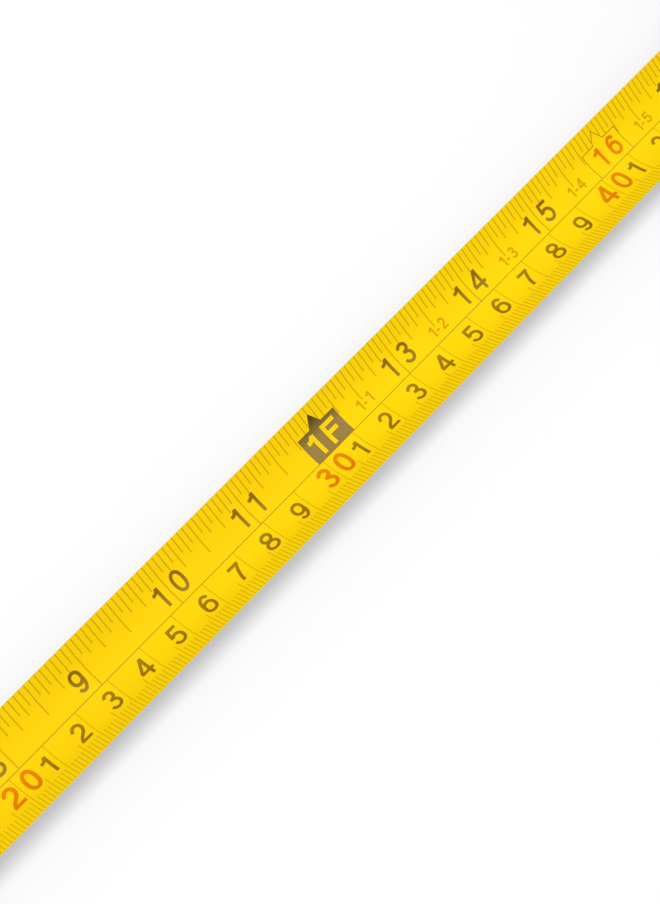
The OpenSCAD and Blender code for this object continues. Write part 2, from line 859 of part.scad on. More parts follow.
// Thumb button with grip ridges and the stem that carries the brake shoe
module lock_button() {
    pad_x = -front_x + track_d - slide_gap;
    color("#d8541c")
        union() {
            intersection() {
                union() {
                    block([pad_x - button_t, -button_w / 2, button_z - button_h / 2],
                          [pad_x, button_w / 2, button_z + button_h / 2]);
                    for (i = [0 : ridge_count - 1])
                        rod_y(ridge_r, -button_w / 2, button_w / 2, pad_x - button_t,
                              button_z + (i - (ridge_count - 1) / 2) * ridge_pitch);
                }
                translate([0, 0, button_z])
                    along_x(pad_x - button_t - ridge_r - cut, pad_x)
                        round_rect(button_w, button_h, button_corner_r);
            }
            block([pad_x - button_t / 2, -stem_w / 2, button_z - stem_h / 2],
                  [shoe_x + stem_in, stem_w / 2, button_z + stem_h / 2]);
        }
}

// Brake shoe: an upright behind the case front and a foot over the blade
module brake_shoe() {
    color("#3a3d42")
        difference() {
            union() {
                block([shoe_x, -shoe_w / 2, foot_z], [shoe_x + shoe_t, shoe_w / 2, shoe_top]);
                block([shoe_x, -shoe_w / 2, foot_z], [-foot_back, shoe_w / 2, foot_top]);
            }
            block([shoe_x - cut, -stem_w / 2, button_z - stem_h / 2],
                  [shoe_x + stem_in, stem_w / 2, button_z + stem_h / 2]);
        }
}

// Rubber brake pad with a rounded face that matches the hollow of the blade
module brake_pad() {
    color("#141518")
        intersection() {
            block([-foot_back - pad_l, -pad_w / 2, blade_z], [-foot_back, pad_w / 2, foot_z]);
            rod_x(camber_r - slide_gap, -foot_back - pad_l - cut, -foot_back + cut);
        }
}

// Bowed leaf spring that keeps the lock where it is set
module detent_spring() {
    bow_h = detent_room - slide_gap - detent_t;
    bow_r = (detent_h * detent_h / 4 + bow_h * bow_h) / 2 / bow_h;
    color("#9a9da2")
        along_y(-detent_w / 2, detent_w / 2)
            intersection() {
                translate([lock_back - detent_t - bow_h + bow_r, button_z])
                    difference() {
                        circle(bow_r, $fn = 256);
                        circle(bow_r - detent_t, $fn = 256);
                    }
                translate([lock_back - detent_room, button_z - detent_h / 2])
                    square([detent_room, detent_h]);
            }
}

echo(wound_blade_gap = strip_gap(coil_in_r, wound_pitch, blade_t, wound_turns, -90));
echo(mainspring_gap = strip_gap(spring_in_r, spring_pitch, spring_t, spring_turns, 90));
echo(front_x = front_x, zero_x = zero_x, axis_z = axis_z, case_top = case_top, case_back = case_back);
echo(half_w = half_w, coil_r = coil_r, slide_travel = drawn_l - bumper_t - hook_play - stop_gap);

case_left();
case_right();
grip_left();
grip_right();
grip_band();
case_screws();
wear_plate();
hook_bumper();
belt_clip();
belt_clip_screw();
centre_post();
liner_left();
liner_right();
reel_drum();
reel_cover();
mainspring();
wound_blade();
blade();
hook_rivets();
end_hook();
lock_button();
brake_shoe();
brake_pad();
detent_spring();
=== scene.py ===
"""Looks of a retractable tape measure: printed blade, hook, gripped case, thumb lock and reel.

Lengths are in metres in the frame of the part: +X runs along the blade from the hook to the case,
+Y is the inch side and +Z is up. On the blade, s runs along it from the inside of the hook and
tau runs across it, along the curved face, from the middle.
"""

from __future__ import annotations

import json
import logging
import math
from dataclasses import dataclass, field, replace
from enum import Enum
from typing import Dict, List, Optional, Sequence, Tuple, Union

import bmesh
import bpy
import numpy as np
from mathutils import Matrix, Vector

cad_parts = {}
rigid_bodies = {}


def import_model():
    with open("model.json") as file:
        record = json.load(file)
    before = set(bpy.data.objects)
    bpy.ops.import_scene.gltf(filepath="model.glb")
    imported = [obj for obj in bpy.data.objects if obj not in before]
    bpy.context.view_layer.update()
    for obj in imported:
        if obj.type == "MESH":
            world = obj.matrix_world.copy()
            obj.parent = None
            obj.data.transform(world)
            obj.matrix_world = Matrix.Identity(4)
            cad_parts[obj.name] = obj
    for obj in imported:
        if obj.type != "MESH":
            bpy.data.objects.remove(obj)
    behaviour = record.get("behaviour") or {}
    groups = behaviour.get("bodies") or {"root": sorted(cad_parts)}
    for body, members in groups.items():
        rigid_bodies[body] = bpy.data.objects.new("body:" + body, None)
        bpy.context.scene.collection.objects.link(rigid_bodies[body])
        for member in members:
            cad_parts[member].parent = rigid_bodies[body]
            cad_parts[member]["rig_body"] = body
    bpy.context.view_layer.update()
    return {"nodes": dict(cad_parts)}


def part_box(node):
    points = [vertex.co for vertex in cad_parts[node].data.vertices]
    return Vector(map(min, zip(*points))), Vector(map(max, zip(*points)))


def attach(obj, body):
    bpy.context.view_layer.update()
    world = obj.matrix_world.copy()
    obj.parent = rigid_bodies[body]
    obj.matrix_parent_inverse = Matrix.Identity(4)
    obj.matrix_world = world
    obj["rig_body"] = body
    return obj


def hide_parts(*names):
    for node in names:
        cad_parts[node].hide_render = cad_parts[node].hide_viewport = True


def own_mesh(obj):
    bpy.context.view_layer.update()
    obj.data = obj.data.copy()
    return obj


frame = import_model()

LOG = logging.getLogger("tape_measure")
MM = 1e-3
INCH = 25.4 * MM
CENTIMETRE = 10.0 * MM

Colour = Tuple[float, float, float, float]
Pair = Tuple[float, float]
Triple = Tuple[float, float, float]
WHITE: Colour = (1.0, 1.0, 1.0, 1.0)


def tone(red: float, green: float, blue: float) -> Colour:
    """Turns a display colour into the linear one that shaders take.

    Args:
        red: Red from 0 to 255.
        green: Green from 0 to 255.
        blue: Blue from 0 to 255.

    Returns:
        The linear colour with an alpha of one.
    """
    shares = np.array([red, green, blue]) / 255.0
    linear = np.where(shares <= 0.04045, shares / 12.92, ((shares + 0.055) / 1.055) ** 2.4)
    return (*(float(share) for share in linear), 1.0)


def ease(share: np.ndarray) -> np.ndarray:
    """Smooth step from 0 to 1 with level ends: 3 f squared less 2 f cubed."""
    return share * share * (3.0 - 2.0 * share)


def add_object(name: str, data: bpy.types.ID) -> bpy.types.Object:
    """Links a new object to the scene.

    Args:
        name: Name of the object.
        data: Mesh, camera or light that it carries.

    Returns:
        The object.
    """
    made = bpy.data.objects.new(name, data)
    bpy.context.scene.collection.objects.link(made)
    return made


# Shader trees


@dataclass(frozen=True)
class Noise:
    """Cloudy value from 0 to 1, and what a finish makes of it.

    Attributes:
        per_metre: Number of clouds in a metre.
        detail: Number of finer layers.
        squeeze: Scale along each axis, where it isn't even.
        band: Values between which it counts for the colour.
        share: Its share of the colour or of the relief.
        spread: Its spread in the roughness.
    """

    per_metre: float
    detail: float = 2.0
    squeeze: Optional[Triple] = None
    band: Pair = (0.0, 1.0)
    share: float = 1.0
    spread: float = 0.0


class Sock:
    """One output of a shader tree; Python's operators on it add Math nodes."""

    def __init__(self, tree: "ShaderTree", socket: Optional[bpy.types.NodeSocket]) -> None:
        """Keeps the tree and the socket, which a node that ends the tree hasn't got."""
        self.tree = tree
        self.socket = socket

    def _math(self, operation: str, *values: "Value") -> "Sock":
        """Adds a Math node of one operation on the values given."""
        return self.tree.add("ShaderNodeMath", {"operation": operation}, dict(enumerate(values)))

    def __add__(self, other: "Value") -> "Sock":
        """Sum of two values."""
        return self._math("ADD", self, other)

    def __radd__(self, other: "Value") -> "Sock":
        """Sum with a number on the left."""
        return self._math("ADD", other, self)

    def __sub__(self, other: "Value") -> "Sock":
        """Difference of two values."""
        return self._math("SUBTRACT", self, other)

    def __rsub__(self, other: "Value") -> "Sock":
        """Difference with a number on the left."""
        return self._math("SUBTRACT", other, self)

    def __mul__(self, other: "Value") -> "Sock":
        """Product of two values."""
        return self._math("MULTIPLY", self, other)

    def __rmul__(self, other: "Value") -> "Sock":
        """Product with a number on the left."""
        return self._math("MULTIPLY", other, self)

    def __abs__(self) -> "Sock":
        """Size of a value without its sign."""
        return self._math("ABSOLUTE", self)

    def larger(self, other: "Value") -> "Sock":
        """Larger of two values."""
        return self._math("MAXIMUM", self, other)

    def stray(self, spread: float) -> "Sock":
        """Turns noise from 0 to 1 into a value about zero, as wide as the spread."""
        return spread * (self - 0.5)

    def ramp(self, low: float, high: float) -> "Sock":
        """Share from 0 at low to 1 at high, with smooth ends."""
        sockets = {"Value": self, "From Min": low, "From Max": high}
        return self.tree.add("ShaderNodeMapRange", {"interpolation_type": "SMOOTHSTEP"}, sockets)


Value = Union[Sock, float, Colour, Triple]
Inputs = Dict[Union[str, int], Value]


class ShaderTree:
    """Node tree of one material or of the world."""

    def __init__(self, owner: Union[bpy.types.Material, bpy.types.World]) -> None:
        """Empties the owner's tree.

        Args:
            owner: Material or world whose nodes are made.
        """
        owner.use_nodes = True
        self.nodes = owner.node_tree.nodes
        self.links = owner.node_tree.links
        self.nodes.clear()

    def add(
        self,
        kind: str,
        settings: Optional[Dict[str, Union[str, bool]]] = None,
        sockets: Optional[Inputs] = None,
        out: Union[str, int] = 0,
    ) -> Sock:
        """Adds one node.

        Args:
            kind: Type of the node.
            settings: Properties of the node, set before its sockets.
            sockets: Numbers, colours or links for its inputs.
            out: Output that is handed back.

        Returns:
            The chosen output.
        """
        node = self.nodes.new(kind)
        for key, value in (settings or {}).items():
            setattr(node, key, value)
        for key, value in (sockets or {}).items():
            if isinstance(value, Sock):
                self.links.new(value.socket, node.inputs[key])
            else:
                node.inputs[key].default_value = value
        return Sock(self, node.outputs[out] if node.outputs else None)

    def place(self) -> Sock:
        """Place of a point in the part's own frame."""
        return self.add("ShaderNodeTexCoord", out="Object")

    def squeezed(self, scale: Triple) -> Sock:
        """Place of a point, scaled along each axis."""
        return self.add("ShaderNodeMapping", sockets={"Vector": self.place(), "Scale": scale})

    def axis(self, name: str) -> Sock:
        """One coordinate of a point in the part's own frame."""
        return self.add("ShaderNodeSeparateXYZ", sockets={"Vector": self.place()}, out=name)

    def noise(self, noise: Noise) -> Sock:
        """Cloudy value from 0 to 1, over the plain place of a point or a squeezed one."""
        place = self.squeezed(noise.squeeze) if noise.squeeze else self.place()
        sockets = {"Vector": place, "Scale": noise.per_metre, "Detail": noise.detail}
        return self.add("ShaderNodeTexNoise", sockets=sockets)

    def cells(self, per_metre: float, disorder: float) -> Sock:
        """Distance from the middle of the nearest cell, in cells that stray from a grid by disorder."""
        sockets = {"Vector": self.place(), "Scale": per_metre, "Randomness": disorder}
        return self.add("ShaderNodeTexVoronoi", sockets=sockets)

    def mix(self, share: Value, first: Value, second: Value) -> Sock:
        """Colour from the first at a share of 0 to the second at 1."""
        settings = {"data_type": "RGBA", "clamp_factor": True}
        return self.add("ShaderNodeMix", settings, {0: share, 6: first, 7: second}, out=2)

    def bump(self, height: Sock, depth: float) -> Sock:
        """Normal of a surface with the height given, depth being its full range."""
        sockets = {"Height": height, "Distance": depth, "Strength": 1.0}
        return self.add("ShaderNodeBump", sockets=sockets, out="Normal")

    def principled(self, sockets: Inputs) -> None:
        """Ends the tree in one Principled shader."""
        shader = self.add("ShaderNodeBsdfPrincipled", sockets=sockets)
        self.add("ShaderNodeOutputMaterial", sockets={"Surface": shader})

    def seen_directly(self) -> Sock:
        """One for rays from the camera, a mirror or glass, and zero for rays that carry light."""
        rays = ("Is Camera Ray", "Is Glossy Ray", "Is Transmission Ray")
        camera, glossy, through = (self.add("ShaderNodeLightPath", out=ray) for ray in rays)
        return camera.larger(glossy).larger(through)


@dataclass(frozen=True)
class Finish:
    """Base of every finish: a name and a shader."""

    name: str

    def sockets(self, tree: ShaderTree) -> Inputs:
        """Inputs of the Principled shader; each finish gives its own."""
        raise NotImplementedError

    def material(self) -> bpy.types.Material:
        """Material of this finish, made once.

        Returns:
            The material.
        """
        made = bpy.data.materials.get(self.name)
        if made is None:
            made = bpy.data.materials.new(self.name)
            tree = ShaderTree(made)
            tree.principled(self.sockets(tree))
        return made


@dataclass(frozen=True)
class Lacquer(Finish):
    """Matt baked lacquer on the steel of the blade, with faint clouds and fine grain."""

    colour: Colour = tone(254, 218, 12)
    rubbed: Colour = tone(247, 206, 12)
    roughness: float = 0.5
    gloss: float = 0.02
    clouds: Noise = Noise(9.0, 3.0, (1.0, 6.0, 6.0), band=(0.35, 0.75), share=0.5, spread=0.1)
    grain: Noise = Noise(3800.0, share=0.12, spread=0.06)
    grain_depth: float = 0.006 * MM

    def sockets(self, tree: ShaderTree) -> Inputs:
        """Clouds along the blade shift the yellow and its roughness a little."""
        clouds, grain = tree.noise(self.clouds), tree.noise(self.grain)
        wear = clouds.ramp(*self.clouds.band) * self.clouds.share + grain * self.grain.share
        rough = self.roughness + clouds.stray(self.clouds.spread) + grain.stray(self.grain.spread)
        return {
            "Base Color": tree.mix(wear, self.colour, self.rubbed),
            "Roughness": rough,
            "Specular IOR Level": self.gloss,
            "Normal": tree.bump(grain, self.grain_depth),
        }


@dataclass(frozen=True)
class Ink(Finish):
    """Printing ink with a painted glare that pales it towards the middle of the blade."""

    edge: Colour = tone(140, 102, 2)
    # Colours in the middle of the blade, paler from a painted glare, on each scale.
    middle_inch: Colour = tone(165, 133, 44)
    middle_metric: Colour = tone(160, 122, 10)
    # Painted glare: full within the first distance of the middle, gone by the second.
    rubbed: float = 0.5 * MM
    reach: float = 7.2 * MM
    roughness: float = 0.5
    gloss: float = 0.02
    seam: float = 1.5 * MM
    mottle: Noise = Noise(2400.0, 3.0, share=0.22, spread=0.15)

    def sockets(self, tree: ShaderTree) -> Inputs:
        """The ink's own colour at the edges pales to a painted glare in the middle, with a mottle in
        it.
        """
        across = tree.axis("Y")
        mottle = tree.noise(self.mottle)
        # Share of the painted glare: one in the middle of the blade, none towards its edges.
        worn = 1.0 - abs(across).ramp(self.rubbed, self.reach) + mottle.stray(self.mottle.share)
        middle = tree.mix(across.ramp(-self.seam, self.seam), self.middle_metric, self.middle_inch)
        return {
            "Base Color": tree.mix(worn, self.edge, middle),
            "Roughness": self.roughness + mottle.stray(self.mottle.spread),
            "Specular IOR Level": self.gloss,
        }


@dataclass(frozen=True)
class Moulded(Finish):
    """Spark-textured moulded plastic with scuffs low on the case."""

    colour: Colour = tone(120, 123, 127)
    scuffed: Colour = tone(158, 160, 162)
    roughness: float = 0.5
    grain_depth: float = 0.03 * MM
    grain: Noise = Noise(2600.0, 3.0)
    clouds: Noise = Noise(45.0, 4.0, share=0.3, spread=0.16)
    streaks: Noise = Noise(260.0, 4.0, (0.35, 1.0, 2.2), band=(0.56, 0.68), share=0.75, spread=0.1)
    scuff_base: float = 0.5 * MM
    scuff_top: float = 7.0 * MM
    scuff_anywhere: float = 0.12

    def sockets(self, tree: ShaderTree) -> Inputs:
        """Fine grain, broad clouds of handling, and streaky scuffs near the base."""
        clouds, streaks = tree.noise(self.clouds), tree.noise(self.streaks)
        low = 1.0 - tree.axis("Z").ramp(self.scuff_base, self.scuff_top)
        scuff = streaks.ramp(*self.streaks.band) * (self.scuff_anywhere + self.streaks.share * low)
        handled = tree.mix(clouds * self.clouds.share, self.colour, self.scuffed)
        rough = self.roughness + clouds.stray(self.clouds.spread) + self.streaks.spread * scuff
        return {
            "Base Color": tree.mix(scuff, handled, self.scuffed),
            "Roughness": rough,
            "Normal": tree.bump(tree.noise(self.grain), self.grain_depth),
        }


@dataclass(frozen=True)
class Rubber(Finish):
    """Soft over-moulded pebbled rubber, with painted shade in its valleys and rubbed pale in clouds on
    its tops.
    """

    colour: Colour = tone(36, 37, 39)
    # Colour of the painted shade in the valleys between the pebbles.
    valley: Colour = tone(23, 23, 25)
    rubbed: Colour = tone(58, 58, 57)
    roughness: float = 0.55
    gloss: float = 0.35
    pebbles: float = 1050.0
    disorder: float = 0.9
    relief: float = 0.12 * MM
    valley_band: Pair = (0.42, 0.85)
    valley_spread: float = 0.2
    grain: Noise = Noise(3400.0, share=0.1, spread=0.08)
    clouds: Noise = Noise(70.0, 5.0, band=(0.4, 0.8), share=0.6)

    def sockets(self, tree: ShaderTree) -> Inputs:
        """Round pebbles carry the bump, with painted shade in the valleys between them and handling on
        their tops.
        """
        valley = tree.cells(self.pebbles, self.disorder).ramp(*self.valley_band)
        grain = tree.noise(self.grain)
        clouds = tree.noise(self.clouds).ramp(*self.clouds.band) * (1.0 - valley)
        tops = tree.mix(clouds * self.clouds.share, self.colour, self.rubbed)
        rough = self.roughness + self.valley_spread * valley + grain.stray(self.grain.spread)
        return {
            # Painted shade: the valleys between the pebbles are darker than the tops.
            "Base Color": tree.mix(valley, tops, self.valley),
            "Roughness": rough,
            "Specular IOR Level": self.gloss,
            "Normal": tree.bump(self.grain.share * grain - valley, self.relief),
        }


@dataclass(frozen=True)
class Steel(Finish):
    """Plated or rolled steel with a fine grain along one direction."""

    colour: Colour = tone(196, 195, 191)
    tarnish: Colour = tone(140, 136, 128)
    roughness: float = 0.3
    grain: Triple = (1.0, 1.0, 0.03)
    grain_depth: float = 0.008 * MM
    lines: Noise = Noise(5200.0, spread=0.16)
    clouds: Noise = Noise(160.0, 4.0, band=(0.5, 0.85), share=0.6, spread=0.18)

    def sockets(self, tree: ShaderTree) -> Inputs:
        """Squeezed noise draws the grain; clouds dull it and darken it in places."""
        lines = tree.noise(replace(self.lines, squeeze=self.grain))
        clouds = tree.noise(self.clouds)
        dull = clouds.ramp(*self.clouds.band) * self.clouds.share
        rough = self.roughness + lines.stray(self.lines.spread) + clouds.stray(self.clouds.spread)
        return {
            "Base Color": tree.mix(dull, self.colour, self.tarnish),
            "Metallic": 1.0,
            "Roughness": rough,
            "Normal": tree.bump(lines, self.grain_depth),
        }


@dataclass(frozen=True)
class Kit:
    """Every finish of the tape measure."""

    lacquer: Finish = Lacquer("yellow_lacquer")
    back: Finish = Steel(
        "blade_back",
        colour=tone(128, 130, 132),
        tarnish=tone(96, 98, 100),
        roughness=0.5,
        grain=(0.02, 1.0, 1.0),
    )
    # The inks' colours for the middle of the blade are paler from a painted glare.
    dark_ink: Finish = Ink("dark_ink")
    metric_ink: Finish = Ink("metric_ink", edge=tone(147, 111, 3), middle_metric=tone(167, 130, 14))
    ruling_ink: Finish = Ink(
        "ruling_ink",
        edge=tone(211, 170, 5),
        middle_inch=tone(211, 171, 10),
        middle_metric=tone(217, 177, 5),
        rubbed=9.0 * MM,
        reach=14.0 * MM,
    )
    block_ink: Finish = Ink(
        "block_ink",
        edge=tone(85, 65, 8),
        middle_inch=tone(155, 129, 71),
        rubbed=3.9 * MM,
        reach=9.5 * MM,
    )
    label_ink: Finish = Ink("label_ink", edge=tone(219, 159, 1), middle_inch=tone(222, 165, 2))
    red_ink: Finish = Ink(
        "red_ink",
        edge=tone(227, 124, 2),
        middle_inch=tone(232, 146, 4),
        middle_metric=tone(232, 139, 3),
    )
    case: Finish = Moulded("case_moulding")
    lock: Finish = Moulded(
        "lock_moulding", colour=tone(214, 82, 24), scuffed=tone(232, 140, 92), scuff_top=1.0 * MM
    )
    inner: Finish = Moulded("inner_moulding", colour=tone(222, 217, 203), scuffed=tone(190, 184, 170))
    shoe: Finish = Moulded("shoe_moulding", colour=tone(58, 61, 66), scuffed=tone(96, 98, 102))
    # Lighter finishes for the rounded edges: partly edge wear, partly a painted highlight.
    case_edge: Finish = Moulded(
        "case_rubbed_edge", colour=tone(142, 145, 148), roughness=0.36, grain_depth=0.01 * MM
    )
    lock_edge: Finish = Moulded(
        "lock_rubbed_edge",
        colour=tone(228, 112, 56),
        scuffed=tone(238, 160, 120),
        roughness=0.36,
        grain_depth=0.01 * MM,
    )
    rubber: Finish = Rubber("pebbled_rubber")
    ribbed: Finish = Rubber("ribbed_rubber", pebbles=3200.0, relief=0.03 * MM)
    # Lighter finish for the grips' rounded edges: edge wear and a painted highlight, with painted shade
    # in its valleys.
    rubber_edge: Finish = Rubber(
        "grip_rubbed_edge",
        colour=tone(50, 51, 53),
        valley=tone(42, 42, 44),
        pebbles=3200.0,
        relief=0.01 * MM,
    )
    pad: Finish = Rubber("stop_rubber", colour=tone(26, 26, 28), pebbles=3200.0, relief=0.03 * MM)
    hook: Finish = Steel("hook_nickel", colour=tone(205, 202, 194), roughness=0.26)
    # Brighter finish for the rounded edges of the hook and the clip: worn plating and a painted
    # highlight.
    hook_edge: Finish = Steel("hook_bright_edge", colour=tone(222, 220, 214), roughness=0.2)
    rivet: Finish = Steel(
        "turned_brass", colour=tone(212, 186, 124), tarnish=tone(150, 124, 76), roughness=0.3
    )
    clip: Finish = Steel("clip_steel", colour=tone(178, 180, 182), roughness=0.34)
    screw: Finish = Steel(
        "screw_zinc", colour=tone(160, 162, 164), roughness=0.36, grain=(1.0, 1.0, 1.0)
    )
    spring: Finish = Steel("rolled_spring", colour=tone(134, 138, 146), roughness=0.32)


KIT = Kit()


# Meshes


@dataclass
class QuadMesh:
    """Points and four-sided faces of one closed surface or of several."""

    points: np.ndarray
    quads: np.ndarray

    @classmethod
    def sweep(cls, rings: np.ndarray, loop: bool = False) -> "QuadMesh":
        """Skins closed rings that are carried along paths.

        Args:
            rings: Points of shape (paths, stations, around, 3), around being even.
            loop: True where each path closes on itself, and so needs no caps.

        Returns:
            The skin, with its faces outwards.
        """
        paths, stations, around, _ = rings.shape
        index = np.arange(paths * stations * around).reshape(paths, stations, around)
        here = np.concatenate([index, index[:, :1]], axis=1) if loop else index
        beside = np.roll(here, -1, axis=2)
        faces = [np.stack([here[:, :-1], beside[:, :-1], beside[:, 1:], here[:, 1:]], axis=-1)]
        if not loop:
            near = np.arange(around // 2 - 1)
            far = around - 1 - near
            start, end = (near, far, far - 1, near + 1), (near, near + 1, far - 1, far)
            faces.append(np.stack([index[:, 0, corner] for corner in start], axis=-1))
            faces.append(np.stack([index[:, -1, corner] for corner in end], axis=-1))
        quads = np.concatenate([part.reshape(-1, 4) for part in faces])
        return cls(rings.reshape(-1, 3), quads).outward()

    @classmethod
    def join(cls, meshes: Sequence["QuadMesh"]) -> "QuadMesh":
        """Several meshes as one, each still closed by itself."""
        starts = np.cumsum([0] + [len(mesh.points) for mesh in meshes[:-1]])
        quads = [mesh.quads + start for mesh, start in zip(meshes, starts)]
        return cls(np.concatenate([mesh.points for mesh in meshes]), np.concatenate(quads))

    def outward(self) -> "QuadMesh":
        """This mesh with its faces turned so that the volume inside is positive."""
        corner = self.points[self.quads]
        middle = self.points.mean(axis=0)
        one, two, three, four = (corner[:, i] - middle for i in range(4))
        volume = np.einsum("ij,ij->", one, np.cross(two, three) + np.cross(three, four))
        return self if volume > 0 else QuadMesh(self.points, self.quads[:, ::-1])

    def piece(self, name: str, finish: Finish, sharp: float = 40.0) -> bpy.types.Object:
        """Object of this mesh with one finish.

        Args:
            name: Name of the object.
            finish: Finish of its faces.
            sharp: Angle in degrees above which an edge stays sharp.

        Returns:
            The object, linked to the scene.
        """
        mesh = bpy.data.meshes.new(name)
        mesh.from_pydata(self.points.tolist(), [], self.quads.tolist())
        mesh.polygons.foreach_set("use_smooth", np.ones(len(self.quads), bool))
        mesh.set_sharp_from_angle(angle=math.radians(sharp))
        mesh.materials.append(finish.material())
        return add_object(name, mesh)


# Blade and its print


@dataclass(frozen=True)
class BladeForm:
    """Curve of the blade's upper face and its place in the frame."""

    width: float = 25.0 * MM
    thickness: float = 0.2 * MM
    camber_radius: float = 13.2 * MM
    camber_width: float = 17.0 * MM
    flatten_length: float = 20.0 * MM
    tail_rise: float = 1.6 * MM
    flat_limit: float = 0.999
    end_gap: float = 1.1 * MM
    low: Vector = field(default_factory=lambda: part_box("blade")[0])
    high: Vector = field(default_factory=lambda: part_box("blade")[1])

    @property
    def zero_x(self) -> float:
        """X of the zero of the scales, at the inside of the hook."""
        return self.low.x - self.end_gap

    @property
    def length(self) -> float:
        """Distance along the blade from the zero to the coil."""
        return self.high.x - self.zero_x

    @property
    def bend_start(self) -> float:
        """Distance along the blade from the zero to where it starts to flatten."""
        return -self.flatten_length - self.zero_x

    def face(self, s: np.ndarray, tau: np.ndarray, lift: np.ndarray) -> np.ndarray:
        """Points on the blade: an arc across the middle, straight borders, flattening to the coil.

        Args:
            s: Distances along the blade.
            tau: Distances across the face from its middle.
            lift: Heights above the face, square to it.

        Returns:
            Points, with the arrays' common shape and a last axis of three.
        """
        s, tau, lift = np.broadcast_arrays(s, tau, lift)
        x = self.zero_x + s
        flat = ease(np.clip((x + self.flatten_length) / (self.flatten_length + self.high.x), 0.0, 1.0))
        bend = (1.0 - np.minimum(flat, self.flat_limit)) / self.camber_radius
        arc = np.minimum(np.abs(tau), self.camber_width / 2)
        border = np.abs(tau) - arc
        slope = arc * bend
        side = np.sin(slope) / bend + (border * np.cos(slope) - lift * np.sin(slope))
        rise = (1.0 - np.cos(slope)) / bend + border * np.sin(slope) + lift * np.cos(slope)
        z = self.low.z + self.thickness + self.tail_rise * flat + rise
        return np.stack([x, np.sign(tau) * side, z], axis=-1)


class Blade:
    """Steel strip of the blade, which slides into the case."""

    def __init__(self, form: BladeForm) -> None:
        """Keeps the form of the strip."""
        self.form = form
        self.across = 64
        self.stations = 48
        self.tail_stations = 24
        self.downward = -0.1

    def ride(self, piece: bpy.types.Object) -> bpy.types.Object:
        """Lets a piece slide with the blade, on a mesh of its own.

        Args:
            piece: Strip or print.

        Returns:
            The same piece.
        """
        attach(piece, "blade")
        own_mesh(piece)
        return piece

    def strip(self, name: str, s: np.ndarray) -> bpy.types.Object:
        """Stretch of the blade: its section, upper face and under face, carried along it.

        Args:
            name: Name of the stretch.
            s: Distances along the blade at which the section is set.

        Returns:
            The stretch, with a bare back.
        """
        form = self.form
        tau = np.linspace(-form.width / 2, form.width / 2, self.across + 1)
        around = np.concatenate([tau, tau[::-1]])
        lift = np.repeat([0.0, -form.thickness], self.across + 1)
        rings = form.face(s[:, None], around[None, :], lift[None, :])
        piece = QuadMesh.sweep(rings[None]).piece(name, KIT.lacquer)
        piece.data.materials.append(KIT.back.material())
        normals = np.zeros(3 * len(piece.data.polygons), np.float32)
        piece.data.polygons.foreach_get("normal", normals)
        bare = (normals[2::3] < self.downward).astype(np.int32)
        piece.data.polygons.foreach_set("material_index", bare)
        return piece

    def build(self) -> List[bpy.types.Object]:
        """Makes the stretch that slides and the flattening tail, which keeps its place in the case.

        Returns:
            The two pieces that stand for the blade.
        """
        form = self.form
        drawn = self.strip("blade_strip", np.linspace(form.end_gap, form.bend_start, self.stations))
        tail = self.strip("blade_tail", np.linspace(form.bend_start, form.length, self.tail_stations))
        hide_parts("blade")
        return [self.ride(drawn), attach(tail, "case")]


@dataclass(frozen=True)
class Stroke:
    """Centre line of a pen stroke in a box one unit high."""

    path: np.ndarray
    loop: bool = False


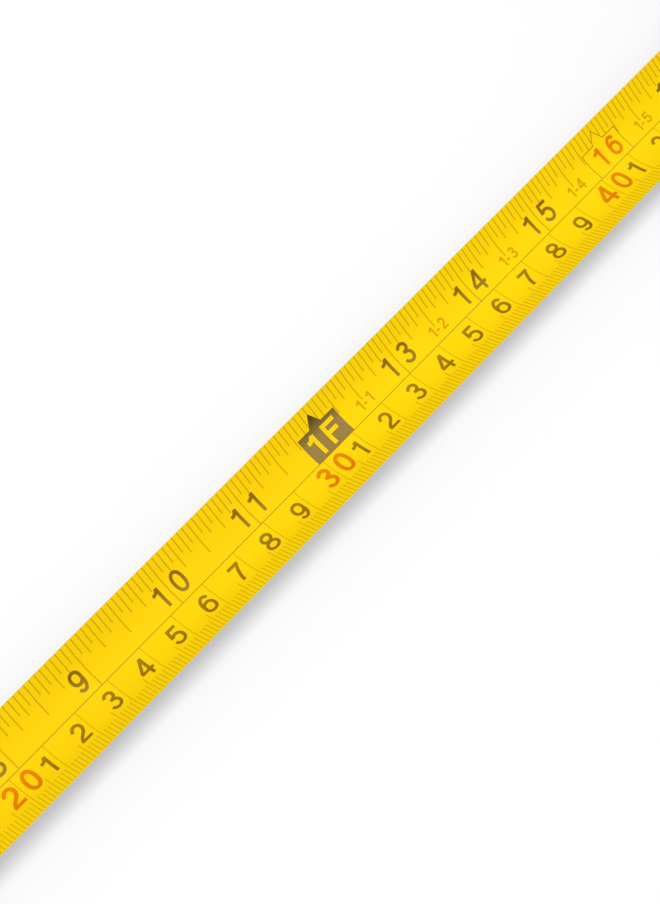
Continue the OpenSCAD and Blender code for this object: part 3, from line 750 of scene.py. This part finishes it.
class NumeralFont:
    """Plain upright numerals drawn with one pen, as centre lines in a box one unit high."""

    LINE_STEPS = 11
    CURVE_STEPS = 15
    OVAL_STEPS = 44
    NINE_TURN = (-0.93, -1.0)

    def __init__(self, pen: float, narrow: float = 0.455) -> None:
        """Keeps the pen.

        Args:
            pen: Width of the stroke as a share of the height.
            narrow: Width of the numeral one as a share of the height.
        """
        self.pen = pen
        self.half = pen / 2
        self.width = 0.65
        self.middle = self.width / 2
        self.narrow = narrow
        self.bearing = 0.06
        self.overhang = 0.04
        self.dash = 0.38

    @staticmethod
    def line(*points: Pair) -> np.ndarray:
        """Straight stretches through the points, cut into short steps."""
        steps = np.linspace(0.0, 1.0, NumeralFont.LINE_STEPS)[:, None]
        ends = zip(np.array(points[:-1]), np.array(points[1:]))
        stretches = [(1 - steps) * start + steps * end for start, end in ends]
        return np.concatenate([stretches[0]] + [stretch[1:] for stretch in stretches[1:]])

    @staticmethod
    def arc(
        x: float, y: float, rx: float, ry: float, start: float, end: float, steps: int = 20
    ) -> np.ndarray:
        """Part of an ellipse round (x, y), between two angles in degrees."""
        angle = np.radians(np.linspace(start, end, steps))
        return np.stack([x + rx * np.cos(angle), y + ry * np.sin(angle)], axis=-1)

    @staticmethod
    def curve(a: Pair, b: Pair, c: Pair, d: Pair) -> np.ndarray:
        """Cubic curve from a to d, drawn towards b and c."""
        t = np.linspace(0.0, 1.0, NumeralFont.CURVE_STEPS)[:, None]
        a, b, c, d = (np.array(point) for point in (a, b, c, d))
        return (1 - t) ** 3 * a + 3 * (1 - t) ** 2 * t * b + 3 * (1 - t) * t * t * c + t ** 3 * d

    def oval(self, y: float, rx: float, ry: float, fullness: float = 2.25) -> Stroke:
        """Closed oval in the middle of the box, a little fuller than an ellipse."""
        angle = np.linspace(0.0, 2 * math.pi, self.OVAL_STEPS, endpoint=False)
        cos, sin = np.cos(angle), np.sin(angle)
        x = self.middle + rx * np.sign(cos) * np.abs(cos) ** (2 / fullness)
        z = y + ry * np.sign(sin) * np.abs(sin) ** (2 / fullness)
        return Stroke(np.stack([x, z], axis=-1), loop=True)

    def advance(self, sign: str) -> float:
        """Width of a sign as a share of the height."""
        odd = {"1": self.narrow, "-": self.dash, "4": self.width + self.overhang}
        return odd.get(sign, self.width)

    def strokes(self, sign: str) -> List[Stroke]:
        """Centre lines of one sign.

        Args:
            sign: A numeral, a dash or the letter F.

        Returns:
            Its strokes, in a box one unit high.
        """
        makers = {
            "0": self.nought, "1": self.one, "2": self.two, "3": self.three, "4": self.four,
            "5": self.five, "6": self.six, "7": self.seven, "8": self.eight, "9": self.nine,
            "-": self.hyphen, "F": self.letter_f,
        }
        return makers[sign]()

    def nought(self) -> List[Stroke]:
        """One oval."""
        return [self.oval(0.5, self.middle - self.half - 0.008, 0.512 - self.half)]

    def one(self) -> List[Stroke]:
        """Upright stem with a flag that sweeps up to its top."""
        stem = self.narrow - self.half
        flag = self.curve((0.05, 0.765), (0.21, 0.765), (0.29, 0.79), (stem - 0.02, 0.975))
        return [Stroke(self.line((stem, 0.0), (stem, 0.99))), Stroke(flag)]

    def two(self) -> List[Stroke]:
        """Round top, a sweep down to the left and a flat base."""
        rx = self.middle - self.half - 0.02
        top = self.arc(self.middle + 0.02, 0.71, rx, 0.31 - self.half, 176.0, -32.0)
        down = self.curve(tuple(top[-1]), (0.5, 0.41), (0.16, 0.34), (self.half + 0.05, self.half))
        return [
            Stroke(np.concatenate([top, down[1:]])),
            Stroke(self.line((0.05, self.half), (self.width - 0.01, self.half))),
        ]

    def three(self) -> List[Stroke]:
        """Two bowls that meet in a short bar."""
        middle, rx = self.middle - 0.005, self.middle - self.half - 0.01
        upper = self.arc(middle, 0.755, 0.21, 0.265 - self.half, 168.0, -90.0, 26)
        lower = self.arc(middle, 0.295, rx, 0.31 - self.half, 90.0, -168.0, 28)
        return [Stroke(upper), Stroke(lower), Stroke(self.line((0.23, 0.55), (0.36, 0.55)))]

    def four(self) -> List[Stroke]:
        """Stem, slope and cross bar."""
        stem = self.width - 0.17
        return [
            Stroke(self.line((stem, -0.025), (stem, 1.015))),
            Stroke(self.line((stem - 0.02, 0.98), (0.05, 0.335))),
            Stroke(self.line((0.0, 0.295), (self.width + self.overhang, 0.295))),
        ]

    def five(self) -> List[Stroke]:
        """Flat top, short stem and one open bowl."""
        rx, top = self.middle - self.half + 0.01, 1.0 - self.half
        bowl = self.arc(self.middle, 0.34, rx, 0.35 - self.half, 140.0, -166.0, 30)
        return [
            Stroke(self.line((0.13, top), (self.width - 0.05, top))),
            Stroke(self.line((0.155, 0.99), (0.095, 0.475))),
            Stroke(bowl),
        ]

    def six(self) -> List[Stroke]:
        """Round bowl with a back that sweeps over it."""
        rx = self.middle - self.half + 0.004
        back = self.arc(self.middle + 0.01, 0.51, rx + 0.01, 0.5 - self.half, 196.0, 90.0)
        tip = self.arc(self.middle + 0.01, 0.745, rx - 0.05, 0.265 - self.half, 90.0, 14.0, 10)
        return [
            self.oval(0.342, rx, 0.352 - self.half),
            Stroke(np.concatenate([back, tip[1:]])),
        ]

    def seven(self) -> List[Stroke]:
        """Flat top and a sweep down from its end."""
        sweep = self.curve((self.width - 0.07, 0.96), (0.36, 0.63), (0.24, 0.32), (0.215, 0.02))
        top = 1.015 - self.half
        return [Stroke(self.line((0.03, top), (self.width - 0.01, top))), Stroke(sweep)]

    def eight(self) -> List[Stroke]:
        """Two ovals, the upper one smaller."""
        return [
            self.oval(0.755, self.middle - self.half - 0.02, 0.27 - self.half, 2.05),
            self.oval(0.285, self.middle - self.half + 0.018, 0.3 - self.half, 2.1),
        ]

    def nine(self) -> List[Stroke]:
        """Six with both its axes turned round, a little narrower."""
        middle, turn = np.array([self.middle, 0.5]), np.array(self.NINE_TURN)
        return [Stroke(middle + turn * (stroke.path - middle), stroke.loop) for stroke in self.six()]

    def hyphen(self) -> List[Stroke]:
        """Short bar below half height."""
        return [Stroke(self.line((0.03, 0.37), (self.dash - 0.05, 0.37)))]

    def letter_f(self) -> List[Stroke]:
        """Stem and two bars."""
        return [
            Stroke(self.line((self.half, 0.0), (self.half, 1.0))),
            Stroke(self.line((self.half, 1.0 - self.half), (self.width + 0.12, 1.0 - self.half))),
            Stroke(self.line((self.half, 0.52), (self.width + 0.02, 0.52))),
        ]


PLAIN = NumeralFont(0.15)
WIDE = NumeralFont(0.165)
BOLD = NumeralFont(0.19, 0.515)


@dataclass(frozen=True)
class Row:
    """Row of figures: its foot, its height, the gaps before and after a line, and its font."""

    low: float
    height: float
    before: float = 0.0
    after: float = 0.0
    font: NumeralFont = PLAIN


class Level(Enum):
    """Heights of the layers of ink above the face of the blade."""

    RULING = 0.014 * MM
    FIGURE = 0.018 * MM
    BLOCK = 0.026 * MM
    KNOCKED_OUT = 0.034 * MM


@dataclass(frozen=True)
class TickRank:
    """Marks of one length on a scale: one in every few divisions, each ending at one tau."""

    every: int
    end: float


@dataclass(frozen=True)
class ScalePrint:
    """Inch and millimetre scales on the blade, with the foot mark and the stud mark."""

    blade: Blade
    line_tau: float = 0.15 * MM
    line_width: float = 0.15 * MM
    inch_tick_width: float = 0.3 * MM
    metric_tick_width: float = 0.2 * MM
    tick_step: float = 0.6 * MM
    edge_tau: float = 12.45 * MM
    printed: float = 466.0 * MM
    first: float = 2.0 * MM
    stroke_lift: float = 0.002 * MM
    inch_divisions: int = 16
    inch_ranks: Tuple[TickRank, ...] = (
        TickRank(16, 0.15 * MM),
        TickRank(8, 3.7 * MM),
        TickRank(4, 5.3 * MM),
        TickRank(2, 6.7 * MM),
        TickRank(1, 8.1 * MM),
    )
    metric_ranks: Tuple[TickRank, ...] = (
        TickRank(10, 0.15 * MM),
        TickRank(5, -5.9 * MM),
        TickRank(1, -8.0 * MM),
    )
    inch_row: Row = Row(1.6 * MM, 5.3 * MM, 1.46 * MM, 1.26 * MM)
    stud_row: Row = Row(1.47 * MM, 5.1 * MM, 0.82 * MM, 1.2 * MM, WIDE)
    metric_row: Row = Row(-6.9 * MM, 5.1 * MM, 0.97 * MM)
    metric_drift: float = 0.19 * MM
    drift_span: float = 7.5
    tens_row: Row = Row(-6.5 * MM, 5.7 * MM, 0.55 * MM, 1.2 * MM, WIDE)
    label_row: Row = Row(1.62 * MM, 2.8 * MM, font=WIDE)
    label_shift: float = 2.25 * MM
    foot_row: Row = Row(0.92 * MM, 5.4 * MM, font=BOLD)
    foot_one: float = -4.65 * MM
    foot_letter: float = 0.4 * MM
    foot: int = 12
    stud: int = 16
    mark_before: float = 5.85 * MM
    mark_after: float = 6.05 * MM
    mark_top: float = 7.3 * MM
    arrow_half: float = 1.85 * MM
    arrow_tip: float = 10.5 * MM
    arrow_blunt: float = 0.01
    block_rows: int = 24
    arrow_rows: int = 12
    mitre_limit: float = 0.5

    def slab(self, edges: np.ndarray, level: float, loop: bool = False) -> QuadMesh:
        """Thin closed layer of ink between two edges.

        Args:
            edges: Points (s, tau) of shape (paths, stations, 2, 2): a left and a right edge.
            level: Height of the ink above the face.
            loop: True where each path closes on itself.

        Returns:
            The layer, sunk a little way into the face.
        """
        left, right = edges[:, :, 0], edges[:, :, 1]
        corners = np.stack([left, right, right, left], axis=2)
        lift = np.array([level, level, -level, -level])
        rings = self.blade.form.face(corners[..., 0], corners[..., 1], lift)
        return QuadMesh.sweep(rings, loop)

    def ribbon(self, path: np.ndarray, pen: float, level: float, loop: bool = False) -> QuadMesh:
        """Pen stroke along a path, with mitred corners.

        Args:
            path: Points (s, tau) of the centre line.
            pen: Width of the stroke.
            level: Height of the ink above the face.
            loop: True where the path closes on itself.

        Returns:
            The stroke.
        """
        ahead = np.roll(path, -1, axis=0) - path
        behind = path - np.roll(path, 1, axis=0)
        if not loop:
            ahead[-1], behind[0] = behind[-1], ahead[0]
        ahead /= np.linalg.norm(ahead, axis=1, keepdims=True)
        behind /= np.linalg.norm(behind, axis=1, keepdims=True)
        along = ahead + behind
        along /= np.linalg.norm(along, axis=1, keepdims=True)
        mitre = 1.0 / np.maximum(np.einsum("ij,ij->i", along, ahead), self.mitre_limit)
        side = np.stack([-along[:, 1], along[:, 0]], axis=-1) * mitre[:, None] * pen / 2
        return self.slab(np.stack([path + side, path - side], axis=1)[None], level, loop)

    def ticks(self, pitch: float, ranks: Sequence[TickRank], edge: float, width: float) -> QuadMesh:
        """Ruled marks of one scale.

        Args:
            pitch: Distance between divisions.
            ranks: Marks from the longest to the shortest.
            edge: Tau at which every mark starts.
            width: Width of a mark.

        Returns:
            All the marks.
        """
        count = np.arange(math.ceil(self.first / pitch), int(self.printed / pitch) + 1)
        done = np.zeros(len(count), bool)
        meshes = []
        for rank in ranks:
            mine = (count % rank.every == 0) & ~done
            done |= mine
            s = count[mine] * pitch
            ends = np.full(len(s), rank.end)
            if edge > 0:
                ends = np.maximum(ends, self.mark_limit(s))
            steps = max(2, int(abs(edge - rank.end) / self.tick_step) + 1)
            tau = edge + (ends[:, None] - edge) * np.linspace(0.0, 1.0, steps)
            sides = np.array([1.0, -1.0]) * width / 2
            edges = np.stack(np.broadcast_arrays(s[:, None, None] + sides, tau[:, :, None]), axis=-1)
            meshes.append(self.slab(edges, Level.RULING.value))
        return QuadMesh.join(meshes)

    def mark_limit(self, s: np.ndarray) -> np.ndarray:
        """Lowest tau to which marks at s may reach, because of the foot mark and the stud mark."""
        limit = np.full(len(s), -self.edge_tau)
        for inch in (self.foot, self.stud):
            off = s - inch * INCH
            inside = (off > -self.mark_before) & (off < self.mark_after)
            limit = np.where(inside, self.mark_top, limit)
            limit = np.where(np.abs(off) < self.arrow_half / 2, self.arrow_tip, limit)
        return limit

    def figures(self, text: str, left: float, row: Row, level: Level = Level.FIGURE) -> List[QuadMesh]:
        """Strokes of a short run of signs.

        Args:
            text: Signs to draw.
            left: s of the left edge of the first sign.
            row: Row that the signs stand in.
            level: Layer of ink.

        Returns:
            One mesh for each stroke.
        """
        meshes = []
        for sign in text:
            for number, stroke in enumerate(row.font.strokes(sign)):
                path = stroke.path * row.height + np.array([left, row.low])
                lift = level.value + number * self.stroke_lift
                meshes.append(self.ribbon(path, row.font.pen * row.height, lift, stroke.loop))
            left += (row.font.advance(sign) + row.font.pen) * row.height
        return meshes

    def numeral(self, text: str, at: float, row: Row) -> List[QuadMesh]:
        """Number beside its division line: one numeral before it, or one on each side.

        Args:
            text: One or two numerals.
            at: s of the division line.
            row: Row that the number stands in.

        Returns:
            One mesh for each stroke.
        """
        spare = row.font.bearing if text[0] == "1" else 0.0
        left = at - row.before - (row.font.advance(text[0]) + spare) * row.height
        return self.figures(text[:1], left, row) + self.figures(text[1:], at + row.after, row)

    def inch_numerals(self) -> QuadMesh:
        """Numbers of the inches, apart from the two that have marks of their own."""
        meshes = []
        for n in range(1, int(self.printed / INCH) + 1):
            if n not in (self.foot, self.stud):
                meshes += self.numeral(str(n), n * INCH, self.inch_row)
        return QuadMesh.join(meshes)

    def metric_numerals(self) -> QuadMesh:
        """Last numerals of the centimetres between the tens, which drift a little off their line."""
        meshes = []
        for n in range(2, int(self.printed / CENTIMETRE) + 1):
            drift = self.metric_drift * math.sin(math.pi * (n % 10) / self.drift_span)
            row = replace(self.metric_row, low=self.metric_row.low + drift)
            if n % 10:
                meshes += self.numeral(str(n % 10), n * CENTIMETRE, row)
        return QuadMesh.join(meshes)

    def red_numerals(self) -> QuadMesh:
        """Tens of centimetres and the stud mark's number."""
        meshes = []
        for n in range(10, int(self.printed / CENTIMETRE) + 1, 10):
            meshes += self.numeral(str(n), n * CENTIMETRE, self.tens_row)
        return QuadMesh.join(meshes + self.numeral(str(self.stud), self.stud * INCH, self.stud_row))

    def foot_labels(self) -> QuadMesh:
        """Small feet-and-inch labels between the inches after the first foot."""
        meshes = []
        for n in range(self.foot, int(self.printed / INCH)):
            label = f"1-{n + 1 - self.foot}"
            meshes += self.figures(label, (n + 0.5) * INCH - self.label_shift, self.label_row)
        return QuadMesh.join(meshes)

    def mark_outline(self, inch: int) -> np.ndarray:
        """Outline of a marked inch: a box on the middle line with an arrow head on it."""
        at = inch * INCH
        left, right = at - self.mark_before, at + self.mark_after
        return NumeralFont.line(
            (left, self.line_tau),
            (left, self.mark_top),
            (at - self.arrow_half, self.mark_top),
            (at, self.arrow_tip),
            (at + self.arrow_half, self.mark_top),
            (right, self.mark_top),
            (right, self.line_tau),
        )

    def block(self, left: np.ndarray, right: np.ndarray, rows: np.ndarray) -> QuadMesh:
        """Block of solid ink, from a left edge to a right edge at every row of tau."""
        edges = np.stack([np.stack([side, rows], axis=-1) for side in (left, right)], axis=1)
        return self.slab(edges[None], Level.BLOCK.value)

    def foot_block(self) -> QuadMesh:
        """Solid block of the foot mark and its arrow head."""
        at = self.foot * INCH
        rows = np.linspace(self.line_tau, self.mark_top, self.block_rows)
        even = np.full_like(rows, at)
        box = self.block(even - self.mark_before, even + self.mark_after, rows)
        rows = np.linspace(self.mark_top, self.arrow_tip, self.arrow_rows)
        half = self.arrow_half * (1.0 + self.arrow_blunt - np.linspace(0.0, 1.0, self.arrow_rows))
        return QuadMesh.join([box, self.block(at - half, at + half, rows)])

    def foot_figures(self) -> QuadMesh:
        """Figures left in yellow on the foot mark."""
        at = self.foot * INCH
        one = self.figures("1", at + self.foot_one, self.foot_row, Level.KNOCKED_OUT)
        letter = self.figures("F", at + self.foot_letter, self.foot_row, Level.KNOCKED_OUT)
        return QuadMesh.join(one + letter)

    def middle_line(self) -> QuadMesh:
        """Line along the middle of the blade between the two scales."""
        path = NumeralFont.line((self.first, self.line_tau), (self.printed, self.line_tau))
        return self.ribbon(path, self.line_width, Level.FIGURE.value)

    def build(self) -> List[bpy.types.Object]:
        """Makes every piece of print.

        Returns:
            The pieces, which slide with the blade.
        """
        division = INCH / self.inch_divisions
        inches = self.ticks(division, self.inch_ranks, self.edge_tau, self.inch_tick_width)
        metric = self.ticks(MM, self.metric_ranks, -self.edge_tau, self.metric_tick_width)
        stud = self.ribbon(self.mark_outline(self.stud), self.line_width, Level.FIGURE.value)
        made = [
            inches.piece("inch_ruling", KIT.ruling_ink),
            metric.piece("metric_ruling", KIT.ruling_ink),
            QuadMesh.join([stud, self.middle_line()]).piece("long_lines", KIT.dark_ink),
            self.inch_numerals().piece("inch_numerals", KIT.dark_ink),
            self.metric_numerals().piece("metric_numerals", KIT.metric_ink),
            self.red_numerals().piece("red_numerals", KIT.red_ink),
            self.foot_labels().piece("foot_labels", KIT.label_ink),
            self.foot_block().piece("foot_mark", KIT.block_ink),
            self.foot_figures().piece("foot_figures", KIT.lacquer),
        ]
        for piece in made:
            self.blade.ride(piece)
        return made


# Rigid pieces


@dataclass(frozen=True)
class RigidPiece:
    """Rigid piece that keeps the shape of its solid and gets softened edges and a finish, the edges
    with a lighter finish for wear and a painted highlight.
    """

    node: str
    finish: Finish
    slot: str
    bevel: float = 0.0
    segments: int = 2
    # Lighter finish of the rounded edges: edge wear and a painted highlight.
    worn: Optional[Finish] = None
    measure: str = "OFFSET"
    joined: float = 0.0
    sharp: float = 32.0
    weld: float = 1e-6
    flat: float = 0.6

    def build(self) -> bpy.types.Object:
        """Merges a copy of the solid's mesh, joins its flat faces and rounds its edges.

        Returns:
            The piece that stands for the node.
        """
        solid = frame["nodes"][self.node]
        mesh = bpy.data.meshes.new(f"{self.node}_skin")
        work = bmesh.new()
        work.from_mesh(solid.data)
        bmesh.ops.remove_doubles(work, verts=work.verts, dist=self.weld)
        flat, limit = math.radians(self.flat), math.radians(self.joined)
        bmesh.ops.dissolve_limit(work, angle_limit=flat, verts=work.verts, edges=work.edges)
        convex = [edge for edge in work.edges if edge.is_convex]
        gentle = [edge for edge in convex if edge.calc_face_angle(math.pi) < limit]
        bmesh.ops.dissolve_edges(work, edges=gentle)
        work.to_mesh(mesh)
        work.free()
        mesh.polygons.foreach_set("use_smooth", np.ones(len(mesh.polygons), bool))
        mesh.set_sharp_from_angle(angle=math.radians(self.sharp))
        mesh.materials.append(self.finish.material())
        piece = add_object(f"{self.node}_skin", mesh)
        if self.bevel:
            edge = piece.modifiers.new("soft_edges", "BEVEL")
            edge.width = self.bevel
            edge.segments = self.segments
            edge.limit_method = "ANGLE"
            edge.angle_limit = math.radians(self.sharp)
            edge.harden_normals = True
            edge.offset_type = self.measure
            edge.use_clamp_overlap = False
            # The rounded edges take the lighter finish: edge wear and a painted highlight.
            if self.worn:
                mesh.materials.append(self.worn.material())
                edge.material = 1
        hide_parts(self.node)
        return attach(piece, solid["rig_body"])


@dataclass(frozen=True)
class SubAssembly:
    """Rigid pieces that are dressed together."""

    pieces: Tuple[RigidPiece, ...]

    def build(self) -> List[bpy.types.Object]:
        """Dresses every piece.

        Returns:
            The pieces.
        """
        return [piece.build() for piece in self.pieces]


HOUSING = SubAssembly((
    RigidPiece("case_left", KIT.case, "case_plastic", 0.25 * MM, 2, KIT.case_edge),
    RigidPiece("case_right", KIT.case, "case_plastic", 0.25 * MM, 2, KIT.case_edge),
    RigidPiece("grip_left", KIT.rubber, "grip_rubber", 0.2 * MM, 2, KIT.rubber_edge, "ABSOLUTE"),
    RigidPiece("grip_right", KIT.rubber, "grip_rubber", 0.2 * MM, 2, KIT.rubber_edge, "ABSOLUTE"),
    RigidPiece("grip_band", KIT.ribbed, "grip_rubber", 0.3 * MM, 3, KIT.rubber_edge, joined=7.0),
    RigidPiece("case_screws", KIT.screw, "zinc_steel", 0.15 * MM),
    RigidPiece("wear_plate", KIT.clip, "plated_steel", 0.15 * MM),
    RigidPiece("hook_bumper", KIT.pad, "grip_rubber", 0.3 * MM, 3),
    RigidPiece("belt_clip", KIT.clip, "spring_steel", 0.2 * MM, 2, KIT.hook_edge, "ABSOLUTE"),
    RigidPiece("belt_clip_screw", KIT.screw, "zinc_steel", 0.2 * MM),
))
MECHANISM = SubAssembly((
    RigidPiece("centre_post", KIT.inner, "inner_plastic", 0.2 * MM),
    RigidPiece("liner_left", KIT.inner, "inner_plastic"),
    RigidPiece("liner_right", KIT.inner, "inner_plastic"),
    RigidPiece("reel_drum", KIT.inner, "inner_plastic", 0.2 * MM),
    RigidPiece("reel_cover", KIT.inner, "inner_plastic", 0.2 * MM),
    RigidPiece("mainspring", KIT.spring, "spring_steel"),
    RigidPiece("wound_blade", KIT.lacquer, "yellow_blade"),
    RigidPiece("lock_button", KIT.lock, "lock_plastic", 0.3 * MM, 3, KIT.lock_edge),
    RigidPiece("brake_shoe", KIT.shoe, "case_plastic", 0.2 * MM),
    RigidPiece("brake_pad", KIT.pad, "grip_rubber", 0.2 * MM),
    RigidPiece("detent_spring", KIT.spring, "spring_steel"),
    RigidPiece("end_hook", KIT.hook, "plated_steel", 0.08 * MM, 2, KIT.hook_edge),
    RigidPiece("hook_rivets", KIT.rivet, "rivet_brass", 0.15 * MM),
))


# Camera, floor and light


@dataclass(frozen=True)
class PhotoCamera:
    """Camera that stands where the photograph was taken from."""

    position: Triple = (-388.69 * MM, -127.66 * MM, 525.54 * MM)
    azimuth: float = 33.487
    elevation: float = 65.813
    roll: float = 8.746
    focal_pixels: float = 2525.0
    long_side: float = 904.0
    sensor: float = 36.0
    near: float = 10.0 * MM

    def build(self) -> bpy.types.Object:
        """Makes the camera the scene's camera.

        Returns:
            The camera.
        """
        turn, drop, tilt = (math.radians(v) for v in (self.azimuth, self.elevation, self.roll))
        ahead = Vector((
            math.cos(drop) * math.cos(turn),
            math.cos(drop) * math.sin(turn),
            -math.sin(drop),
        ))
        level = Vector((math.sin(turn), -math.cos(turn), 0.0))
        right = level * math.cos(tilt) + level.cross(ahead) * math.sin(tilt)
        up = right.cross(ahead)
        data = bpy.data.cameras.new("photo_camera")
        data.sensor_width = self.sensor
        data.lens = self.sensor * self.focal_pixels / self.long_side
        data.clip_start = self.near
        camera = add_object("photo_camera", data)
        facing = Matrix((right, up, -ahead)).transposed().to_4x4()
        camera.matrix_world = Matrix.Translation(self.position) @ facing
        bpy.context.scene.camera = camera
        return camera


@dataclass(frozen=True)
class Lamp:
    """Soft light from one direction: its power on a square metre and its spread in degrees."""

    name: str
    power: float
    spread: float
    direction: Triple

    def build(self) -> bpy.types.Object:
        """Makes the lamp a sun that faces along its direction.

        Returns:
            The lamp.
        """
        data = bpy.data.lights.new(self.name, "SUN")
        data.energy = self.power
        data.angle = math.radians(self.spread)
        lamp = add_object(self.name, data)
        lamp.rotation_euler = Vector(self.direction).to_track_quat("-Z", "Y").to_euler()
        return lamp


@dataclass(frozen=True)
class Studio:
    """White floor, a soft key from overhead, a weak fill from the front and even light all round."""

    floor_half: float = 6.0
    floor_white: float = 0.68
    floor_glow: float = 0.32
    sky: float = 0.42
    lamps: Tuple[Lamp, ...] = (
        Lamp("key", 1.7, 24.0, (0.0, -0.015, -1.0)),
        Lamp("fill", 0.2, 30.0, (0.0, 0.45, -1.0)),
    )

    def floor(self) -> bpy.types.Object:
        """Floor that the case stands on; seen directly it carries part of the white itself.

        Returns:
            The floor.
        """
        half = self.floor_half
        corners = [(-half, -half, 0.0), (half, -half, 0.0), (half, half, 0.0), (-half, half, 0.0)]
        mesh = bpy.data.meshes.new("floor")
        mesh.from_pydata(corners, [], [(0, 1, 2, 3)])
        material = bpy.data.materials.new("floor_white")
        tree = ShaderTree(material)
        white = (self.floor_white,) * 3 + (1.0,)
        paint = tree.add("ShaderNodeBsdfDiffuse", sockets={"Color": white})
        glow = tree.add("ShaderNodeEmission", sockets={"Color": WHITE, "Strength": self.floor_glow})
        seen = tree.add("ShaderNodeAddShader", sockets={0: paint, 1: glow})
        surface = tree.add("ShaderNodeMixShader", sockets={0: tree.seen_directly(), 1: paint, 2: seen})
        tree.add("ShaderNodeOutputMaterial", sockets={"Surface": surface})
        mesh.materials.append(material)
        floor = add_object("floor", mesh)
        return floor

    def light(self) -> None:
        """Sets the even light of the world and the lamps."""
        world = bpy.data.worlds.new("studio")
        bpy.context.scene.world = world
        tree = ShaderTree(world)
        even = tree.add("ShaderNodeBackground", sockets={"Color": WHITE, "Strength": self.sky})
        seen = tree.add("ShaderNodeBackground", sockets={"Color": WHITE, "Strength": 1.0})
        surface = tree.add("ShaderNodeMixShader", sockets={0: tree.seen_directly(), 1: even, 2: seen})
        tree.add("ShaderNodeOutputWorld", sockets={"Surface": surface})
        for lamp in self.lamps:
            lamp.build()


def main() -> None:
    """Builds every sub-assembly in order."""
    logging.basicConfig(level=logging.INFO, format="%(name)s: %(message)s")
    bpy.context.scene.view_settings.view_transform = "Standard"
    PhotoCamera().build()
    studio = Studio()
    studio.floor()
    studio.light()
    blade = Blade(BladeForm())
    made = blade.build() + ScalePrint(blade).build()
    made += HOUSING.build() + MECHANISM.build()


if __name__ == "__main__":
    main()
